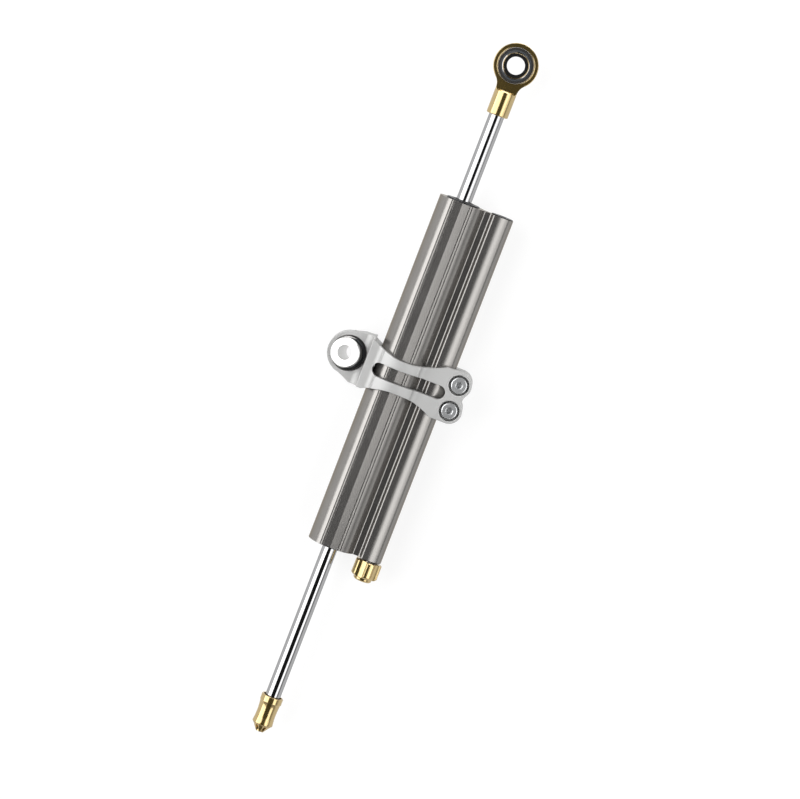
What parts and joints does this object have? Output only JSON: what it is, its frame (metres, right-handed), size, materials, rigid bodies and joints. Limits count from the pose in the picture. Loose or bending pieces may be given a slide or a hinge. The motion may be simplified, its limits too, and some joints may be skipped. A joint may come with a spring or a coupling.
{
  "type": "motorcycle steering damper",
  "caption": "Linear hydraulic steering damper with a through rod, spherical rod end, bypass adjuster and a sliding body clamp with a swivel eye.",
  "frame": {"origin": "centre of the rod end's ball, with the rod in the middle of its stroke as pictured", "axes": "+X along the damper's axis from the body to the rod end, +Y towards the clamp's swivel eye, +Z out of the rod end's front face towards the camera"},
  "size_m": [0.3299, 0.0663, 0.0278],
  "materials": {
    "body_anodised": "titanium grey anodised",
    "black_anodised": "black anodised",
    "gold_anodised": "gold anodised",
    "blasted_aluminium": "bead blasted",
    "chromed_steel": "hard chromed and ground",
    "bearing_steel": "polished",
    "screw_steel": "zinc plated",
    "bronze": "plain",
    "rubber": "matt",
    "sliding_liner": "matt"
  },
  "bodies": {
    "barrel": {"barrel": "body_anodised", "upper_seal_head": "black_anodised", "lower_seal_head": "black_anodised", "rod_wipers": "rubber", "rod_seals": "rubber", "rod_bushes": "bronze", "seal_head_o_rings": "rubber", "bypass_plug": "black_anodised", "bypass_plug_o_ring": "rubber", "adjuster_gland": "black_anodised", "adjuster_gland_o_ring": "rubber", "needle_o_ring": "rubber", "valve_seat": "bronze"},
    "piston": {"piston": "blasted_aluminium", "piston_ring": "bronze"},
    "rod": {"piston_rod": "chromed_steel", "piston_clips": "bearing_steel", "rod_end": "gold_anodised", "rod_end_race": "bearing_steel", "rod_end_liner": "sliding_liner", "rod_tip": "gold_anodised"},
    "rod_end_ball": {"rod_end_ball": "bearing_steel"},
    "clamp": {"clamp": "blasted_aluminium", "clamp_screws": "screw_steel", "clamp_race": "bearing_steel", "clamp_liner": "sliding_liner"},
    "clamp_ball": {"clamp_ball": "bearing_steel"},
    "pivot_sleeves": {"pivot_sleeves": "screw_steel"},
    "needle": {"adjuster_needle": "screw_steel"},
    "knob": {"adjuster_knob": "gold_anodised", "knob_grub_screw": "screw_steel"}
  },
  "joints": [
    {"name": "rod_slide", "type": "slide", "parent": "barrel", "child": "piston", "axis": [1, 0, 0], "range_m": [-0.0383, 0.0705]},
    {"name": "rod_spin", "type": "hinge", "parent": "piston", "child": "rod", "pos_m": [-0.16299, 0, 0], "axis": [1, 0, 0], "continuous": true},
    {"name": "rod_end_ball_tilt", "type": "hinge", "parent": "rod", "child": "rod_end_ball", "pos_m": [0, 0, 0], "axis": [0, 1, 0], "range_deg": [-14, 14]},
    {"name": "clamp_slide", "type": "slide", "parent": "barrel", "child": "clamp", "axis": [1, 0, 0], "range_m": [-0.065, 0.065]},
    {"name": "clamp_ball_tilt", "type": "hinge", "parent": "clamp", "child": "clamp_ball", "pos_m": [-0.14494, 0.0233, 0], "axis": [1, 0, 0], "range_deg": [-1, 19]},
    {"name": "sleeve_spin", "type": "hinge", "parent": "clamp_ball", "child": "pivot_sleeves", "pos_m": [-0.14494, 0.0233, 0], "axis": [0, 0.2079, 0.9781], "continuous": true},
    {"name": "needle_travel", "type": "slide", "parent": "barrel", "child": "needle", "axis": [1, 0, 0], "range_m": [-0.000333, 0.000333]},
    {"name": "adjuster_turn", "type": "hinge", "parent": "needle", "child": "knob", "pos_m": [-0.2297, -0.0185, 0], "axis": [1, 0, 0], "range_deg": [-150, 150]}
  ],
  "couplings": [
    {"joint": "adjuster_turn", "follows": "needle_travel", "rad_per_m": 7854}
  ]
}
